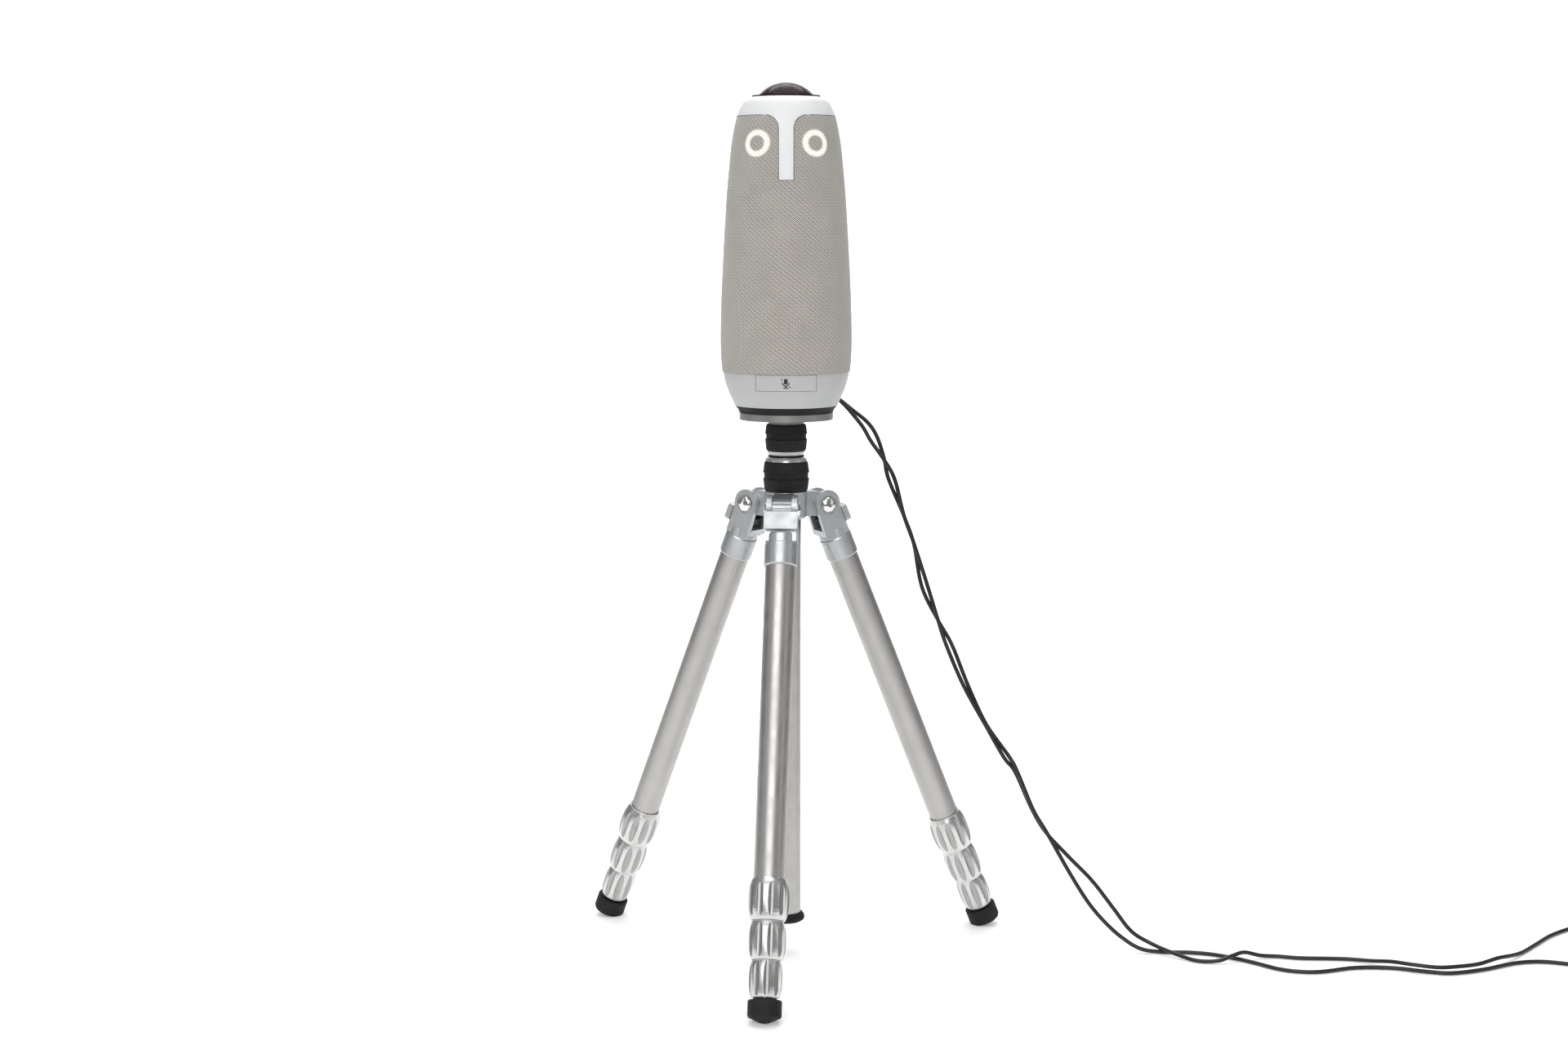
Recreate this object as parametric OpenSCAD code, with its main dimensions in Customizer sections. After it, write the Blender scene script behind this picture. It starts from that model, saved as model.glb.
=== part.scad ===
// Round conference camera on a folding tripod with twist-lock legs and a two-stage centre column.
// Z = 0 is the floor, the column stands on the Z axis, and the camera's face looks along -Y.

/* [Stand] */
// Height of the camera plate's underside above the floor
plate_z = 460; // [440:1:480]
// Height of the leg hinges above the floor
hinge_z = 387; // [385:1:389]
// Distance of the leg hinges from the column's axis
hinge_r = 34; // [33:0.5:36]
// Lean of an open leg from the vertical
lean = 23; // [22:0.5:24]
// Direction of the front leg, the others follow at 120 degrees
front_leg_dir = -95; // [-110:1:-70]

/* [Legs] */
// Radius of the four tube sections, outermost first
tube_r = [12.5, 11, 9.5, 8]; // [7:0.1:13]
// Wall of each tube section
tube_wall = 1; // [0.8:0.1:1.2]
// Distance along the leg from the hinge to the top of the first twist collar
collar_start = 307; // [300:1:312]
// Length of each twist collar
collar_len = [33, 31, 29]; // [26:0.5:34]
// Largest radius of each twist collar
collar_r = [16.7, 15, 13.2]; // [12:0.1:18]
// Number of scoops around the middle twist collar
flutes = 10; // [8:1:12]
// Radius of a rubber foot
foot_r = 13.6; // [12:0.1:14]

/* [Column] */
// Radius of the outer column tube
column_r = 12.5; // [12:0.1:12.5]
// Radius of the inner column tube
inner_column_r = 11; // [10.5:0.1:11]
// Radius of the rubber cap under the column
cap_r = 16; // [15:0.1:16.5]
// Height of the cap's lower face above the floor
cap_z = 27; // [20:1:40]
// Radius of the camera plate
plate_r = 39.3; // [36:0.1:40]
// Thickness of the camera plate
plate_h = 6; // [5:0.5:8]

/* [Camera] */
// Height of the camera from the plate to the top of the lens dome
camera_h = 273; // [270:1:276]
// Width of the nose strip on the face
nose_w = 12.4; // [10:0.2:14]
// Angle between each glowing ring and the middle of the face
eye_angle = 32; // [28:1:34]
// Outer radius of a glowing ring
eye_r = 11; // [9:0.5:12]
// Width of the mute button
mute_w = 49.6; // [40:0.2:52]

/* [Cords] */
// Diameter of both cords
cord_d = 3.5; // [3:0.1:4]
// Radius of a cord coil at the middle of its turns
coil_r = 20; // [18:0.5:22]

/* [Hidden] */
$fn = 64;
LEGS = ["front", "right", "left"];
LEG_PARTS = ["bracket", "stop_tab", "tube_1", "collar_1", "tube_2", "collar_2", "tube_3", "collar_3",
             "tube_4", "foot"];

gap = 0.3;          // between faces that move past each other
pin_gap = 0.05;     // radial clearance of a hinge pin in the ears
big = 300;          // longer than anything it cuts

SHELL_WHITE = [0.87, 0.88, 0.88];
SATIN_ALU = [0.71, 0.70, 0.68];
CAST_GREY = [0.60, 0.61, 0.62];
RUBBER = [0.09, 0.09, 0.09];
FABRIC = [0.66, 0.64, 0.61];
CHROME = [0.80, 0.80, 0.80];

// ---- legs: local +Z runs down the leg from the hinge, local -X faces outwards ----
arm_w = 16;                 // hub arm between the two ears
ear_t = 4.4;                // thickness of one ear
ear_y = arm_w / 2 + gap;    // inner face of an ear
ear_out = ear_y + ear_t;    // outer face of an ear
pin_r = 3;                  // hinge bolt shank
bolt_head_r = 6.8;          // domed bolt head
bolt_head_h = 3.6;
bolt_key_r = 2.4;           // hexagon hole in the head
bolt_seat_r = 8;            // round seat in the ear
bolt_seat_d = 0.8;
arm_end_r = 9.5;            // rounded end of a hub arm around the hinge
ear_r = 11;                 // rounded upper end of an ear
ear_rise = 1.5;             // centre of that end above the hinge
ear_in = 9;                 // half depth of an ear where it runs down to the socket
ear_lip = 13;               // inner edge of the ears and of the lip that joins them
socket_r = 13.8;            // round socket that holds the first tube
socket_neck_r = 13.2;       // its upper part
socket_top = 21.5;
socket_step = 30;           // the neck widens to the socket here
socket_end = 49.5;
throat = 20;                // the ears join here, clear of the hub arm
tab_w = 28;
tab_len = 14.5;
tab_t = 5;
tab_round = 2.4;            // corners of the tab
tab_top = 5.7;              // start of the tab below the hinge
tongue_from = 8.7;          // tongue of the tab, below the arm's round end

collar_from = [collar_start, collar_start + collar_len[0], collar_start + collar_len[0] + collar_len[1]];
collar_to = [for (i = [0:2]) collar_from[i] + collar_len[i]];
collar_drop = [2.9, 2.4, 1.9];              // how much thinner a collar is at its ends
scoop_turn = [3, 20, 11];                   // turn of each collar's scoops about the leg
scoop_r = 3.5;
scoop_out = 1.8;                            // centre of a scoop outside the collar
foot_from = collar_to[2];
apex = hinge_z / cos(lean) + 0.5;           // virtual tip of the foot's cone, 0.5 below the floor
cone_len = foot_r * tan(lean);              // the cone's flank lies flat on the floor
tube_from = [socket_top + 6, 62, 72, 82];
tube_to = [collar_from[0] + 17, collar_from[1] + 17, collar_from[2] + 16, foot_from + 6];

module leg_frame(leg) {
    turn = front_leg_dir + 120 * search([leg], LEGS)[0];
    rotate([0, 0, turn]) translate([hinge_r, 0, hinge_z]) rotate([0, 180 - lean, 0]) children();
}

module pipe(r_out, r_in, from, to) {
    translate([0, 0, from]) difference() {
        cylinder(r = r_out, h = to - from);
        translate([0, 0, -1]) cylinder(r = r_in, h = to - from + 2);
    }
}

// A rod along local Y, centred on the hinge axis
module cross_rod(r, half_w) {
    rotate([90, 0, 0]) cylinder(r = r, h = 2 * half_w, center = true);
}

module ear_outline() {
    translate([0, -ear_rise]) circle(r = ear_r);
    polygon([[-ear_in, -ear_rise], [ear_r, -ear_rise], [ear_lip, throat + 5], [ear_in, throat + 9],
             [-ear_in, throat + 9]]);
}

module leg_bracket() {
    lead = 2;           // length of the slope at the neck's top
    edge = 1.2;         // cut edge at the socket's lower end
    color(CAST_GREY) difference() {
        union() {
            for (side = [-1, 1])
                translate([0, side * (ear_y + ear_t / 2), 0]) rotate([90, 0, 0])
                    linear_extrude(ear_t, center = true) ear_outline();
            // solid throat with its lip below the arm, then the round socket
            translate([-ear_in, -ear_y - 0.5, throat]) cube([ear_in + ear_lip, 2 * ear_y + 1, lead + 3]);
            translate([0, 0, socket_top]) cylinder(r1 = socket_neck_r - 1, r2 = socket_neck_r, h = lead);
            translate([0, 0, socket_top + lead])
                cylinder(r = socket_neck_r, h = socket_step - socket_top - lead);
            translate([0, 0, socket_step]) cylinder(r1 = socket_neck_r, r2 = socket_r, h = 1);
            translate([0, 0, socket_step + 1]) cylinder(r = socket_r, h = socket_end - socket_step - 1 - edge);
            translate([0, 0, socket_end - edge]) cylinder(r1 = socket_r, r2 = socket_r - 0.7, h = edge);
        }
        translate([0, 0, tube_from[0]]) cylinder(r = tube_r[0], h = big);
        cross_rod(pin_r + pin_gap, big / 2);
        for (side = [-1, 1])
            translate([0, side * (ear_out - bolt_seat_d + 5), 0]) cross_rod(bolt_seat_r, 5);
    }
}

module leg_stop_tab() {
    in_x = ear_in + gap;
    color(CAST_GREY) {
        translate([-in_x - tab_t, 0, tab_top]) {
            translate([0, -tab_w / 2 + tab_round, 0]) cube([tab_t, tab_w - 2 * tab_round, tab_len]);
            translate([0, -tab_w / 2, tab_round]) cube([tab_t, tab_w, tab_len - 2 * tab_round]);
            for (side = [-1, 1], z = [tab_round, tab_len - tab_round])
                translate([0, side * (tab_w / 2 - tab_round), z]) rotate([0, 90, 0])
                    cylinder(r = tab_round, h = tab_t);
        }
        translate([-in_x, -arm_w / 2 + 0.5, tongue_from]) cube([4, arm_w - 1, 4]);
    }
}

module leg_tube(i) {
    color(SATIN_ALU) pipe(tube_r[i], tube_r[i] - tube_wall, tube_from[i], tube_to[i]);
}

// Barrel-shaped outline of a twist collar, as [radius, height] points on a curve
function barrel(r_end, r_mid, len) = [for (k = [0:12]) let (t = k / 12)
    [r_end + (r_mid - r_end) * (1 - pow(abs(2 * t - 1), 2.5)), t * len]];

module leg_collar(i) {
    len = collar_len[i] - gap;
    r_end = collar_r[i] - collar_drop[i];
    split = tube_to[i] - collar_from[i] + gap;      // below this the collar closes on the next tube
    color(CHROME) translate([0, 0, collar_from[i]]) difference() {
        union() {
            rotate_extrude() polygon(concat([[0, 0]], barrel(r_end, collar_r[i], len), [[0, len]]));
            if (i == 0) translate([0, 0, -0.8]) cylinder(r = r_end - 0.2, h = 2);
        }
        scoops = flutes + 1 - i;
        for (k = [0:scoops - 1]) rotate([0, 0, scoop_turn[i] + 360 * k / scoops])
            translate([collar_r[i] + scoop_out, 0, -1]) cylinder(r = scoop_r, h = len + 2, $fn = 32);
        translate([0, 0, -5]) cylinder(r = tube_r[i] + gap, h = split + 5);
        translate([0, 0, split - 1]) cylinder(r = tube_r[i + 1] + gap, h = len);
    }
}

module leg_foot(leg) {
    neck_r = 9.4;
    neck_to = foot_from + 1.6;
    color(RUBBER) intersection() {
        leg_frame(leg) difference() {
            rotate_extrude() polygon([
                [0, foot_from + gap], [neck_r, foot_from + gap], [neck_r, neck_to],
                [foot_r - 1, neck_to], [foot_r, neck_to + 1], [foot_r, apex - cone_len - 1.2],
                [foot_r - 0.8, apex - cone_len + 0.4], [3.5, apex - 3.5 * tan(lean)], [0, apex - 1]]);
            translate([0, 0, foot_from - 1]) cylinder(r = tube_r[3], h = tube_to[3] - foot_from + 1);
        }
        translate([-big, -big, 0]) cube([2 * big, 2 * big, big]);
    }
}

module leg_part(leg, piece) {
    if (piece == "foot") leg_foot(leg);
    else leg_frame(leg) {
        if (piece == "bracket") leg_bracket();
        if (piece == "stop_tab") leg_stop_tab();
        for (i = [0:3]) if (piece == str("tube_", i + 1)) leg_tube(i);
        for (i = [0:2]) if (piece == str("collar_", i + 1)) leg_collar(i);
    }
}

// ---- hub and centre column ----
hub_r = 18;
hub_top = 399;
hub_low = 376;
hub_neck_z = 391;
lock_low = hub_top + gap;
lock_top = 425;
ring_top = 428.2;
flange_low = ring_top + 1.5;        // silver flange of the column, with a seal between it and the ring
flange_top = 433;
grip_top = plate_z - 4;
column_top = 452;
cap_h = 8;

module at_legs() {
    for (leg = [0:2]) rotate([0, 0, front_leg_dir + 120 * leg]) children();
}

module hub_arm() {
    low = hinge_z - arm_end_r;
    difference() {
        union() {
            // side view of the arm: its top slopes from the hub down to the round end
            rotate([90, 0, 0]) linear_extrude(arm_w, center = true) polygon([
                [hub_r - 6, low], [hinge_r, low], [hinge_r, hinge_z + arm_end_r],
                [hinge_r - 5, hinge_z + arm_end_r + 1.2], [hub_r + 3, hub_top - 0.3],
                [hub_r - 6, hub_top - 0.3]]);
            translate([hinge_r, 0, hinge_z]) cross_rod(arm_end_r, arm_w / 2);
        }
        // three stop steps on the outer end
        for (a = [8, 30, 52])
            translate([hinge_r, 0, hinge_z]) rotate([0, -a, 0]) translate([arm_end_r, 0, 0])
                cube([1.6, arm_w + 2, 1.4], center = true);
    }
}

module hub() {
    color(CAST_GREY) difference() {
        union() {
            translate([0, 0, hub_neck_z]) cylinder(r = hub_r, h = hub_top - hub_neck_z);
            translate([0, 0, hub_low + 2]) cylinder(r = hub_r - 0.6, h = hub_neck_z - hub_low - 1);
            translate([0, 0, hub_low]) cylinder(r1 = hub_r - 2.6, r2 = hub_r - 0.6, h = 2);
            at_legs() hub_arm();
        }
        cylinder(r = column_r + gap, h = 2 * big);
        at_legs() translate([hinge_r, 0, hinge_z]) cross_rod(pin_r, big / 8);
    }
}

module bolt_dome() {
    difference() {
        rotate_extrude() polygon(concat([[0, 0]],
            [for (k = [0:8]) [bolt_head_r * cos(k * 11.25), bolt_head_h * sin(k * 11.25)]]));
        translate([0, 0, bolt_head_h / 2]) cylinder(r = bolt_key_r, h = bolt_head_h, $fn = 6);
    }
}

module hinge_bolts() {
    head_y = ear_out - bolt_seat_d + gap;
    color(CHROME) at_legs() translate([hinge_r, 0, hinge_z]) {
        cross_rod(pin_r, head_y);
        for (side = [-1, 1]) rotate([side * -90, 0, 0]) translate([0, 0, head_y - 0.01]) bolt_dome();
    }
}

module column_lock_ring() {
    color(SATIN_ALU) rotate_extrude() polygon([
        [column_r + gap, lock_low], [15.5, lock_low], [15.5, lock_top - 0.4], [17.9, lock_top - 0.4],
        [17.7, lock_top + 1.2], [16.4, ring_top - 0.4], [15.6, ring_top], [column_r + gap, ring_top]]);
}

// Rubber grip that is widest beside its recessed middle band, as [radius, height] points
function grip(r, r_low, r_high, from, to, band_low, band_high) = [
    [r_low - 0.8, from], [r_low, from + 1.6], [r, band_low - 0.6], [r - 0.9, band_low],
    [r - 0.9, band_high], [r, band_high + 0.6], [r_high, to - 1.4], [r_high - 0.8, to]];

module column_lock_grip() {
    color(RUBBER) rotate_extrude() polygon(concat([[15.5, lock_low]],
        grip(19.5, 18.3, 18.4, lock_low, lock_top - 0.4, 410.2, 414.5), [[15.5, lock_top - 0.4]]));
}

module column_tube() {
    color(SATIN_ALU) difference() {
        union() {
            translate([0, 0, cap_z + 2]) cylinder(r = column_r, h = column_top - cap_z - 2);
            translate([0, 0, flange_low]) cylinder(r1 = 14.4, r2 = 15.9, h = flange_top - flange_low);
        }
        cylinder(r = column_r - 1.2, h = 2 * big);
    }
}

module column_cap() {
    color(RUBBER) difference() {
        rotate_extrude() polygon([
            [0, cap_z], [cap_r - 3, cap_z], [cap_r - 0.6, cap_z + 1.6], [cap_r, cap_z + 3.4],
            [cap_r - 0.6, cap_z + 5.4], [column_r + 1, cap_z + cap_h], [0, cap_z + cap_h]]);
        pipe(column_r, column_r - 1.2, cap_z + 2, big);
    }
}

module upper_lock_grip() {
    low = flange_top + gap;
    color(RUBBER) difference() {
        rotate_extrude() polygon(concat([[0, low]],
            grip(17.7, 16.9, 16.9, low, grip_top - gap, 443.6, 447.1), [[0, grip_top - gap]]));
        cylinder(r = column_r + gap, h = column_top + gap);
        cylinder(r = inner_column_r + gap, h = 2 * big);
    }
}

module inner_column() {
    color(SATIN_ALU) pipe(inner_column_r, inner_column_r - 1.2, 60, plate_z);
}

module mount_plate() {
    color(CAST_GREY) difference() {
        union() {
            translate([0, 0, plate_z]) cylinder(r = plate_r, h = plate_h - 0.5);
            translate([0, 0, plate_z + plate_h - 0.5])
                cylinder(r1 = plate_r, r2 = plate_r - 0.5, h = 0.5);
            pipe(15, inner_column_r, grip_top, plate_z + 0.01);
        }
        translate([0, 0, plate_z - 1]) cylinder(r = 6, h = 3);
        cylinder(r = 3.2, h = 2 * big);
    }
}

module mount_screw() {
    color(CHROME) union() {
        translate([0, 0, plate_z]) cylinder(r = 6, h = 2);
        translate([0, 0, plate_z]) cylinder(r = 3.1, h = 17);
    }
}

// ---- camera ----
camera_z = plate_z + plate_h;           // the camera stands here
ring_h = 5.6;                           // rubber ring under the base
shell_z = camera_z + ring_h;
fabric_low = camera_z + 34;
fabric_high = camera_z + 245;
flange_z = camera_z + 260.8;            // black flange of the lens
dome_z = flange_z + 1.2;
fabric_t = 1.2;
shell_inset = 0.7;                      // the fabric stands this much proud of the base shell
shell_floor = 3;
board_rise = 8.4;                       // circuit board above the underside of the shell

// Control points of the camera's outline above the plate, [radius, height]
KEYS = [[43.6, 5.6], [48, 15], [51.8, 25.5], [53.7, 36], [54.8, 52], [54.8, 72], [53.9, 102],
        [52, 139], [49.7, 177], [47.1, 206.5], [45.3, 223], [43.4, 234], [40.9, 245], [38.1, 252],
        [34.6, 257.5], [28.8, 260.8]];

// Catmull-Rom value between two keys of one coordinate
function smooth(a, b, c, d, t) = 0.5 * (2 * b + (c - a) * t + (2 * a - 5 * b + 4 * c - d) * t * t
    + (3 * b - a - 3 * c + d) * t * t * t);
function key(i) = KEYS[max(0, min(len(KEYS) - 1, i))];
function outline(steps) = [for (i = [0:len(KEYS) - 2]) for (k = [0:steps - 1]) let (t = k / steps)
    [smooth(key(i - 1)[0], key(i)[0], key(i + 1)[0], key(i + 2)[0], t),
     smooth(key(i - 1)[1], key(i)[1], key(i + 1)[1], key(i + 2)[1], t)]];

// Solid of revolution inside the camera's outline, shrunk by inset, between two heights
module camera_body(inset, from, to) {
    points = concat(outline(3), [KEYS[len(KEYS) - 1]]);
    translate([0, 0, camera_z]) intersection() {
        rotate_extrude($fn = 96) polygon(concat([[0, 0]], [for (p = points) [p[0] - inset, p[1]]],
            [[0, KEYS[len(KEYS) - 1][1]]]));
        translate([0, 0, from - camera_z]) cylinder(r = big, h = to - from);
    }
}

// Skin of the camera between two heights
module camera_skin(outer, inner, from, to) {
    difference() {
        camera_body(outer, from, to);
        camera_body(inner, from - 1, to + 1);
    }
}

nose_low = camera_z + 192;
nose_corner = 11;

// The face's nose strip with its flared top, seen from the front and cut towards -Y
module nose_cut(grow) {
    half = nose_w / 2 + grow;
    low = nose_low - grow;
    rotate([90, 0, 0]) linear_extrude(80) difference() {
        union() {
            translate([-half, low]) square([2 * half, fabric_high - low + 0.01]);
            translate([-half - nose_corner, fabric_high - nose_corner])
                square([2 * (half + nose_corner), nose_corner + 0.01]);
        }
        for (side = [-1, 1])
            translate([side * (half + nose_corner), fabric_high - nose_corner])
                circle(r = nose_corner);
    }
}

module lens_dome() {
    rim = 23.3;
    rise = camera_z + camera_h - dome_z;
    ball = (rim * rim + rise * rise) / (2 * rise);
    arc = asin(rim / ball);
    outer = [for (k = [0:12]) [ball * sin(arc * k / 12), dome_z + rise - ball + ball * cos(arc * k / 12)]];
    inner = [for (k = [12:-1:0]) [(ball - 1.8) * sin(arc * 0.96 * k / 12),
        max(dome_z, dome_z + rise - ball + (ball - 1.8) * cos(arc * 0.96 * k / 12))]];
    color([0.05, 0.04, 0.05]) rotate_extrude() polygon(concat(outer, inner));
}

module lens_barrel() {
    color(RUBBER) union() {
        translate([0, 0, flange_z]) cylinder(r = 28.4, h = dome_z - flange_z);
        translate([0, 0, flange_z - 30]) cylinder(r = 12, h = 31);
        // stepped lens group under the dome
        translate([0, 0, dome_z - 0.01]) cylinder(r1 = 16, r2 = 12, h = 3);
        translate([0, 0, dome_z + 2.9]) cylinder(r1 = 10, r2 = 7, h = 3);
    }
}

module head_shell() {
    color(SHELL_WHITE) difference() {
        union() {
            camera_skin(0, 2.4, fabric_high, flange_z);
            intersection() {
                camera_skin(0, fabric_t, nose_low - 1, fabric_high + 0.01);
                nose_cut(0);
            }
        }
        translate([0, 0, flange_z - 20]) cylinder(r = 26, h = 40);
    }
}

module fabric_sleeve() {
    color(FABRIC) difference() {
        camera_skin(0, fabric_t, fabric_low, fabric_high);
        nose_cut(gap);
    }
}

module core_frame() {
    wall = fabric_t + 0.2;
    foot_z = shell_z + shell_floor;
    shelf_z = camera_z + 54;
    color([0.25, 0.26, 0.27]) {
        difference() {
            union() {
                camera_skin(wall, wall + 2, fabric_low, fabric_high);
                translate([0, 0, foot_z]) cylinder(r = 38, h = fabric_low - foot_z + 2);
                camera_body(wall + 1, fabric_low, fabric_low + 2);
                camera_body(wall + 1, shelf_z, shelf_z + 2);
                camera_body(wall, fabric_high - 2, fabric_high);
            }
            translate([0, 0, foot_z - 1]) cylinder(r = 36, h = fabric_low - foot_z + 4);
            translate([0, 0, shelf_z - 1]) cylinder(r = 10, h = 4);
            translate([0, 0, fabric_high - 3]) cylinder(r = 26, h = 4);
            // way in for the two leads
            rotate([0, 0, cord_dir]) translate([30, -11, foot_z - 0.5]) cube([12, 22, 10]);
            // seats of the light rings
            for (side = [-1, 1]) eye_frame(side) translate([0, 0, -12]) cylinder(r = eye_r + 1, h = 20);
        }
        for (side = [-1, 1]) intersection() {
            eye_frame(side) translate([0, 0, -6]) pipe(eye_r + 1.5, eye_r + 0.3, -2, 14);
            camera_body(wall, fabric_low, fabric_high);
        }
    }
}

eye_z = camera_z + 222;
module eye_frame(side) {
    rotate([0, 0, -90 + side * eye_angle]) translate([41, 0, eye_z]) rotate([0, 84, 0]) children();
}

module eye_rings() {
    color([1, 0.96, 0.9]) for (side = [-1, 1]) intersection() {
        eye_frame(side) pipe(eye_r + 0.3, eye_r - 4.2, -2, 12);
        camera_body(fabric_t + 0.3, fabric_low, fabric_high);
    }
}

mute_low = camera_z + 20.5;
mute_high = fabric_low - gap;

module mute_panel(grow, deep) {
    half = mute_w / 2 + grow;
    translate([-half, -60, mute_low - grow]) cube([2 * half, 60 - deep, mute_high - mute_low + 2 * grow]);
}

cord_dir = 62;              // the leads leave the base in this direction

module base_shell() {
    color(SHELL_WHITE) difference() {
        union() {
            camera_skin(shell_inset, 3.4, shell_z, fabric_low);
            camera_body(shell_inset, shell_z, shell_z + shell_floor);
            for (a = [0, 120, 240]) rotate([0, 0, a]) translate([27, 0, shell_z]) cylinder(r = 3, h = board_rise);
        }
        mute_panel(gap, 20);
        cylinder(r = 3.2, h = 2 * big);
        rotate([0, 0, cord_dir]) translate([34, -10.5, shell_z + shell_floor]) cube([30, 21, 9]);
    }
}

module mute_button() {
    color(SHELL_WHITE) intersection() {
        camera_skin(shell_inset, 3.2, shell_z, fabric_low);
        mute_panel(0, 20);
    }
}

module base_ring() {
    color(RUBBER) rotate_extrude() polygon([
        [30, camera_z], [39.4, camera_z], [40.2, camera_z + 2.4], [42.4, shell_z - 0.8],
        [42.4, shell_z], [30, shell_z]]);
}

module main_board() {
    board_z = shell_z + board_rise;
    color([0.10, 0.32, 0.18]) {
        difference() {
            translate([0, 0, board_z]) cylinder(r = 33, h = 1.6);
            translate([0, 0, board_z - 1]) cylinder(r = 8, h = 4);
        }
        for (chip = [[-18, 8, 12], [4, 14, 10], [-8, -20, 14]])
            translate([chip[0], chip[1], board_z + 1.6]) cube([chip[2], chip[2], 2]);
        // two sockets facing the leads, hanging under the board
        rotate([0, 0, cord_dir]) for (side = [-1, 1])
            translate([22, side * LEAD_SIDE - 4.2, board_z - 4.8]) cube([8, 8.4, 4.8]);
    }
}

module speakers() {
    shelf = camera_z + 56;
    color([0.2, 0.2, 0.2]) for (a = [90, 210, 330]) rotate([0, 0, a]) translate([29, 0, shelf]) {
        cylinder(r1 = 9, r2 = 9, h = 7);
        translate([0, 0, 6.99]) cylinder(r1 = 9, r2 = 17, h = 8);
        translate([0, 0, 14.98]) cylinder(r = 17, h = 2);
    }
}

// ---- cords ----
LEAD_SIDE = 5.5;            // each lead leaves this far to its side of cord_dir
plug_z = shell_z + 6.2;
coil_t = 3 * cord_d + 0.5;  // thickness of a wound coil
usb_coil_at = [722, -48];
power_coil_at = [737, 61];

module camera_plugs() {
    color(RUBBER) rotate([0, 0, cord_dir]) for (side = [-1, 1])
        translate([30, side * LEAD_SIDE, plug_z]) rotate([0, 90, 0]) {
            cylinder(r = 1.6, h = 5);
            translate([0, 0, 5]) cylinder(r = 3, h = 15);
            translate([0, 0, 20]) cylinder(r1 = 2.8, r2 = 2, h = 8);
        }
}

// Both leads lie on the floor's surface where they run flat, so a centre there is half a diameter up.
// Points are [x, y, z] of the centre of the cord.
USB_UPPER = [[22, 53, 478], [25, 59, 478], [33, 64, 477], [44, 62.2, 473], [56.1, 56.6, 464],
    [70, 49, 453], [78, 45, 441], [84, 43.1, 423], [87.9, 41.4, 405], [100.9, 40.5, 374],
    [109.9, 38.4, 349], [116.9, 34.4, 312], [131, 35.1, 283], [143, 32.1, 262]];
USB_LOWER = [[143, 32.1, 262], [157, 30, 227], [173, 28, 193], [193, 21.8, 165], [200, 17.9, 152],
    [213, 13, 121], [225, 9, 101], [245, 5, 66], [261, 2, 41], [275, -2, 25], [289, -6, 13],
    [305, -10, 4.2], [325, -10.7, 1.8], [347, -13, 2], [366, -19, 2], [385, -32, 2], [400, -46, 2],
    [414, -60, 2], [430, -67, 2], [448, -67, 2], [479, -56, 2], [510, -57, 2], [536, -67, 2],
    [556, -71, 2], [585, -61, 2], [617, -43, 2], [640, -39, 2], [662, -46, 2], [690, -60, 2],
    [712, -70, 2]];
POWER_UPPER = [[32, 48, 478], [35, 54, 478], [42, 58, 475], [49.9, 55.3, 468], [58, 50.9, 459],
    [66, 46, 449], [73, 42, 437], [83, 37.9, 423], [93.1, 40.6, 405], [101.1, 35.5, 374],
    [110.1, 32.6, 349], [122.1, 34.6, 312], [131, 29.9, 283], [138, 31.8, 262]];
POWER_LOWER = [[138, 31.8, 262], [153, 28, 227], [172, 23, 193], [188, 22.1, 165], [198, 22.2, 152],
    [212, 18, 121], [224, 15, 101], [243, 10, 81], [264, 5, 60], [282, 0, 37], [297, -3, 18],
    [313, -5.2, 8.2], [330, -20.2, 4.1], [348, -36, 2], [366, -40, 3], [378, -36, 6], [390, -29, 7],
    [405, -25, 3], [421, -24, 2], [439, -29, 2], [474, -31, 2], [496, -40, 3], [510, -52, 6],
    [526, -64, 7], [545, -68, 6], [564, -65, 6], [582, -58, 6], [602, -42, 6], [618, -28, 4],
    [632, -12, 2], [652, 13, 2], [671, 37, 2], [695, 59, 2], [722, 80, 2]];

// Smooth curve through route points, two rings for each
function route_at(p, i) = p[max(0, min(len(p) - 1, i))];
function route(p) = concat(
    [for (i = [0:len(p) - 2]) for (t = [0, 0.5])
        smooth(route_at(p, i - 1), route_at(p, i), route_at(p, i + 1), route_at(p, i + 2), t)],
    [p[len(p) - 1]]);

SIDES = 8;
function unit(v) = v / norm(v);
function ring_points(at, along, r) = let (
        across = unit([-along[2], 0, along[0]]),
        rise = cross(along, across))
    [for (k = [0:SIDES - 1]) at + r * (cos(360 * k / SIDES) * across + sin(360 * k / SIDES) * rise)];

// Tube along a list of centres
module cord_tube(centres) {
    last = len(centres) - 1;
    rings = [for (i = [0:last])
        ring_points(centres[i], unit(centres[min(last, i + 1)] - centres[max(0, i - 1)]), cord_d / 2)];
    points = [for (ring = rings) for (p = ring) [p[0], p[1], max(0, p[2])]];
    sides = [for (i = [0:last - 1]) for (k = [0:SIDES - 1]) let (next = (k + 1) % SIDES)
        [i * SIDES + k, i * SIDES + next, (i + 1) * SIDES + next, (i + 1) * SIDES + k]];
    color(RUBBER) polyhedron(points, concat(
        [[for (k = [SIDES - 1:-1:0]) k]], sides, [[for (k = [0:SIDES - 1]) last * SIDES + k]]));
}

// The lower stretch starts just below the end of the upper one
join_gap = [0, 0, -0.8];
function lowered(p) = concat([p[0] + join_gap], [for (i = [1:len(p) - 1]) p[i]]);

module usb_cord_upper() { cord_tube(route(USB_UPPER)); }
module usb_cord_lower() { cord_tube(route(lowered(USB_LOWER))); }
module power_cord_upper() { cord_tube(route(POWER_UPPER)); }
module power_cord_lower() { cord_tube(route(lowered(POWER_LOWER))); }

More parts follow.
